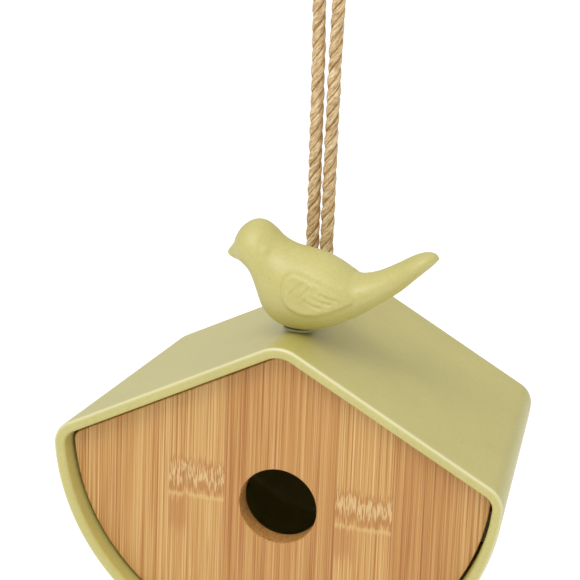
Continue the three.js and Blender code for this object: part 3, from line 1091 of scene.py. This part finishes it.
def make_bird():
    sections = smoothed(spline(BIRD_SECTIONS, 260), 4)
    top = np.stack([sections[:, 0], 0 * sections[:, 0], sections[:, 1]], axis=1)
    low = np.stack([sections[:, 2], 0 * sections[:, 0], sections[:, 3]], axis=1)
    middle, half = (top + low) / 2, (top - low) / 2
    angle = np.linspace(0, 2 * math.pi, 200, endpoint=False)
    rings = (
        middle[:, None, :]
        + half[:, None, :] * np.sin(angle)[None, :, None]
        + sections[:, 4, None, None] * (np.cos(angle)[:, None] * Y_AXIS)[None]
    )
    x, y, z = rings[..., 0], rings[..., 1], rings[..., 2]
    flat_enough = smoothstep(0.25, 0.6, np.abs(np.cos(angle)))[None, :]
    rings[..., 1] += np.sign(y) * bird_relief(x, z) * flat_enough
    rings[..., 2] = np.maximum(rings[..., 2], BIRD_FOOT_Z)
    points, faces = skin(rings, [rings[0].mean(axis=0), rings[-1].mean(axis=0)])
    bird = make_mesh("ceramic_bird", on_ridge(points), faces)
    finish_piece(bird, MATT_GLAZE, "house", "glaze", "bird")


def make_bird_fixing():
    wall = WALL * float(taper(BIRD_Y))
    sag = RIDGE_RADIUS - math.sqrt(RIDGE_RADIUS**2 - INNER_WASHER_RADIUS**2)
    nut_top = -wall - sag - 2 * CLEARANCE - INNER_WASHER_THICKNESS
    stud_bottom = nut_top - NUT_THICKNESS - STUD_RADIUS

    hole = STUD_RADIUS + CLEARANCE
    low, high = CLEARANCE, CLEARANCE + WASHER["thickness"]
    corners = [(hole, low), (WASHER["radius"], low), (WASHER["radius"], high), (hole, high)]
    edge_radius = 0.45
    points, faces = skin(lathe(rounded(corners, edge_radius), 96), looped=True)
    washer = make_mesh("silicone_washer", on_ridge(points), faces)
    finish_piece(washer, SILICONE, "house", "silicone", "bird_washer")

    pitch, depth, end_chamfer = 0.7, 0.22, 0.25
    bottom, top = stud_bottom, BIRD_FOOT_Z + STUD_DEPTH_IN_BIRD
    z = np.arange(bottom, top, pitch / 8)
    angle = np.linspace(0, 2 * math.pi, 48, endpoint=False)
    phase = (z[:, None] / pitch - angle[None, :] / (2 * math.pi)) % 1
    crest = 1 - np.abs(2 * phase - 1)
    ends = smoothstep(0, 0.6, np.minimum(z - bottom, top - z))[:, None]
    radius = STUD_RADIUS - depth * (1 - crest * ends) - end_chamfer * (1 - ends)
    rings = np.stack(
        [
            radius * np.cos(angle),
            radius * np.sin(angle),
            np.broadcast_to(z[:, None], radius.shape),
        ],
        axis=-1,
    )
    points, faces = skin(rings, [(0, 0, bottom), (0, 0, z[-1])])
    stud = make_mesh("threaded_stud", on_ridge(points), faces, sharp_angle=50)
    finish_piece(stud, STEEL, "house", "steel", "bird_stud")
    for name in ("bird_inner_washer", "bird_nut"):
        paint_node(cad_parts[name], STEEL, bevel=0.25)


make_bird()
make_bird_fixing()


# ---- Studio ----


def area_light(name, azimuth, elevation, distance, size, power):
    """A square softbox that faces the house. Azimuth 0 is in front, and 90 to its left."""
    a, e = math.radians(azimuth), math.radians(elevation)
    direction = Vector((-math.sin(a) * math.cos(e), -math.cos(a) * math.cos(e), math.sin(e)))
    data = bpy.data.lights.new(name, "AREA")
    data.shape = "SQUARE"
    data.size = size
    data.energy = power
    light = bpy.data.objects.new(name, data)
    bpy.context.scene.collection.objects.link(light)
    light.location = Vector(HOUSE_PLACE * MM) + direction * distance
    light.rotation_euler = direction.to_track_quat("Z", "Y").to_euler()


def make_floor():
    size, drop = 8, 0.62
    rings = [
        [(x, y, -drop / MM) for x, y in ((-s, -s), (s, -s), (s, s), (-s, s))]
        for s in (size / 2 / MM, size / 4 / MM)
    ]
    points, faces = skin(rings)
    faces.append([4, 5, 6, 7])
    floor = make_mesh("floor", points, faces)
    paper = Surface(
        "studio_paper", Roughness=0.9, Emission_Color=(1, 1, 1, 1), Emission_Strength=0.36
    )
    mottle = paper.noise(paper.place(), scale=3, detail=2)
    paper.colour(paper.ramp(mottle, [(0.3, (0.93, 0.93, 0.93)), (0.7, (0.95, 0.95, 0.95))]))
    floor.data.materials.append(paper.material)
    floor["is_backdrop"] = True


def make_sky(horizon, zenith):
    """An even white surround, brighter overhead."""
    world = bpy.data.worlds.new("surround")
    bpy.context.scene.world = world
    world.use_nodes = True
    tree = world.node_tree
    place = tree.nodes.new("ShaderNodeTexCoord")
    split = tree.nodes.new("ShaderNodeSeparateXYZ")
    ramp = tree.nodes.new("ShaderNodeValToRGB")
    tree.links.new(place.outputs["Generated"], split.inputs[0])
    tree.links.new(split.outputs["Z"], ramp.inputs[0])
    for element, level in zip(ramp.color_ramp.elements, (horizon, zenith)):
        element.color = (level, level, level, 1)
    tree.links.new(ramp.outputs[0], tree.nodes["Background"].inputs["Color"])


make_floor()
make_sky(0.46, 0.92)
area_light("key", azimuth=9, elevation=60, distance=1.3, size=0.7, power=8.1)
bpy.context.scene.view_settings.view_transform = "Standard"

boxes = {"cad": cad_box, "visual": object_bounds()}
boxes = {name: [list(corner) for corner in box] for name, box in boxes.items()}
